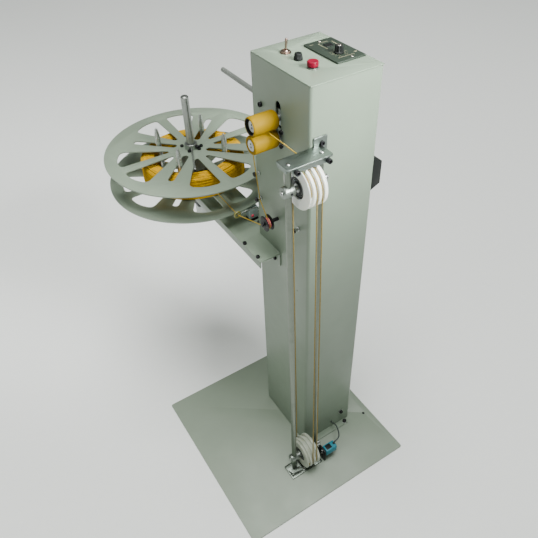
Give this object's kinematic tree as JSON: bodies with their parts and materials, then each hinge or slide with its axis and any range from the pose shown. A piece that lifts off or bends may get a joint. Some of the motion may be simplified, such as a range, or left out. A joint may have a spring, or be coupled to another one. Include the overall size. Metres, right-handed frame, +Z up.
{
  "type": "ball winder",
  "caption": "Floor-standing yarn winder: sheet metal column on a square base, grooved pulleys, feed rollers and a horizontal reel on a side arm.",
  "frame": {"origin": "centre of the base plate's underside, on the floor", "axes": "+Z up; -Y is the column's narrow front with the two grooved pulleys; -X is the side with the feed rollers and the reel arm; +Y is the back, where the reel is"},
  "size_m": [0.468, 0.79, 1.0529],
  "materials": {
    "painted_sheet": "pale grey-green powder coat, satin",
    "reel_enamel": "smooth pale enamel",
    "bright_steel": "turned and ground, bright",
    "zinc_plate": "zinc plated, dull",
    "black_steel": "black oxide",
    "black_plastic": "moulded, fine grain",
    "panel_green": "dark grey-green, semi-gloss",
    "white_nylon": "turned nylon",
    "amber_polyurethane": "ground, satin",
    "yellow_yarn": "wound yarn",
    "red_plastic": "moulded, gloss",
    "sensor_teal": "moulded",
    "smoked_plastic": "clear grey moulding",
    "eyelet_ceramic": "glazed",
    "cable_pvc": "round grey cable"
  },
  "bodies": {
    "column": {"base_plate": "painted_sheet", "column_shell": "painted_sheet", "rear_cover": "painted_sheet", "top_panel": "painted_sheet", "reel_arm": "painted_sheet", "rear_rod": "bright_steel", "toggle_bushing": "bright_steel", "top_shaft": "bright_steel", "bottom_shaft": "bright_steel", "guide_rod_left": "bright_steel", "guide_rod_right": "bright_steel", "button_bushing": "zinc_plate", "roller_frame": "zinc_plate", "spindle_housing": "zinc_plate", "top_rod_clamp": "zinc_plate", "bottom_rod_clamp": "zinc_plate", "top_bracket": "zinc_plate", "bottom_bracket": "zinc_plate", "feed_gearmotor": "black_steel", "reel_motor": "black_steel", "guide_pulley_stud": "black_steel", "guide_pin": "black_steel", "sensor_bracket": "black_steel", "mains_inlet_box": "black_plastic", "fuse_holder_body": "black_plastic", "speed_controller": "panel_green", "yarn_front_left": "yellow_yarn", "yarn_front_right": "yellow_yarn", "yarn_back_left": "yellow_yarn", "yarn_back_middle": "yellow_yarn", "yarn_to_rollers": "yellow_yarn", "yarn_to_reel": "yellow_yarn", "pulley_sensor": "sensor_teal", "reel_sensor": "smoked_plastic", "yarn_eyelet": "eyelet_ceramic", "sensor_cable": "cable_pvc"},
    "speed_knob": {"speed_knob": "black_plastic"},
    "run_rocker": {"run_rocker": "black_plastic"},
    "toggle_lever": {"toggle_lever": "bright_steel"},
    "fuse_cap": {"fuse_cap": "black_plastic"},
    "red_button": {"red_button": "red_plastic"},
    "lower_roller": {"lower_roller_core": "bright_steel", "lower_roller_sleeve": "amber_polyurethane"},
    "roller_carriage": {"upper_roller_carriage": "zinc_plate"},
    "upper_roller": {"upper_roller_core": "bright_steel", "upper_roller_sleeve": "amber_polyurethane"},
    "reel": {"spindle": "bright_steel", "lower_reel_flange": "reel_enamel", "yarn_coil": "yellow_yarn"},
    "lift_off_flange": {"upper_reel_flange": "reel_enamel", "upper_flange_collar": "black_steel"},
    "peg_1": {"reel_peg_1": "bright_steel"},
    "peg_2": {"reel_peg_2": "bright_steel"},
    "peg_3": {"reel_peg_3": "bright_steel"},
    "peg_4": {"reel_peg_4": "bright_steel"},
    "guide_pulley": {"guide_pulley": "black_plastic"},
    "top_pulley": {"top_pulley": "white_nylon", "top_pulley_bearing": "black_steel"},
    "bottom_pulley": {"bottom_pulley": "white_nylon", "bottom_pulley_bearing": "black_steel"}
  },
  "joints": [
    {"name": "speed_knob_turn", "type": "hinge", "parent": "column", "child": "speed_knob", "pos_m": [0.133, -0.006, 1.027], "axis": [0, 0, 1], "range_deg": [-150, 150]},
    {"name": "run_rocker_throw", "type": "hinge", "parent": "column", "child": "run_rocker", "pos_m": [0.14, 0.032, 1.028], "axis": [1, 0, 0], "range_deg": [0, 20]},
    {"name": "toggle_throw", "type": "hinge", "parent": "column", "child": "toggle_lever", "pos_m": [0.0655, 0.057, 1.027], "axis": [1, 0, 0], "range_deg": [-16, 0]},
    {"name": "fuse_cap_turn", "type": "hinge", "parent": "column", "child": "fuse_cap", "pos_m": [0.0655, 0.018, 1.027], "axis": [0, 0, 1], "range_deg": [0, 90]},
    {"name": "red_button_press", "type": "slide", "parent": "column", "child": "red_button", "axis": [0, 0, -1], "range_m": [0, 0.0014], "stiffness_N_per_m": 400, "springref_m": -0.002},
    {"name": "lower_roller_spin", "type": "hinge", "parent": "column", "child": "lower_roller", "pos_m": [-0.013, 0.015, 0.899], "axis": [1, 0, 0], "continuous": true},
    {"name": "upper_roller_lift", "type": "slide", "parent": "column", "child": "roller_carriage", "axis": [0, 0, 1], "range_m": [0, 0.019]},
    {"name": "upper_roller_spin", "type": "hinge", "parent": "roller_carriage", "child": "upper_roller", "pos_m": [-0.013, 0.015, 0.935], "axis": [1, 0, 0], "continuous": true},
    {"name": "reel_spin", "type": "hinge", "parent": "column", "child": "reel", "pos_m": [-0.01, 0.352, 0.705], "axis": [0, 0, 1], "continuous": true},
    {"name": "flange_lift_off", "type": "slide", "parent": "reel", "child": "lift_off_flange", "axis": [0, 0, 1], "range_m": [0, 0.165]},
    {"name": "peg_1_slide", "type": "slide", "parent": "reel", "child": "peg_1", "axis": [-0.7071, -0.7071, 0], "range_m": [0, 0.03]},
    {"name": "peg_2_slide", "type": "slide", "parent": "reel", "child": "peg_2", "axis": [0.7071, -0.7071, 0], "range_m": [0, 0.03]},
    {"name": "peg_3_slide", "type": "slide", "parent": "reel", "child": "peg_3", "axis": [0.7071, 0.7071, 0], "range_m": [0, 0.03]},
    {"name": "peg_4_slide", "type": "slide", "parent": "reel", "child": "peg_4", "axis": [-0.7071, 0.7071, 0], "range_m": [0, 0.03]},
    {"name": "guide_pulley_spin", "type": "hinge", "parent": "column", "child": "guide_pulley", "pos_m": [-0.005, 0.025, 0.707], "axis": [1, 0, 0], "continuous": true},
    {"name": "top_pulley_spin", "type": "hinge", "parent": "column", "child": "top_pulley", "pos_m": [-0.003, -0.104, 0.869], "axis": [1, 0, 0], "continuous": true},
    {"name": "bottom_pulley_spin", "type": "hinge", "parent": "column", "child": "bottom_pulley", "pos_m": [-0.01, -0.128, 0.061], "axis": [1, 0, 0], "continuous": true}
  ],
  "couplings": [
    {"joint": "upper_roller_spin", "follows": "lower_roller_spin", "ratio": -1},
    {"joint": "top_pulley_spin", "follows": "lower_roller_spin", "ratio": 0.5},
    {"joint": "bottom_pulley_spin", "follows": "lower_roller_spin", "ratio": 0.5},
    {"joint": "guide_pulley_spin", "follows": "lower_roller_spin", "ratio": -1.6}
  ]
}
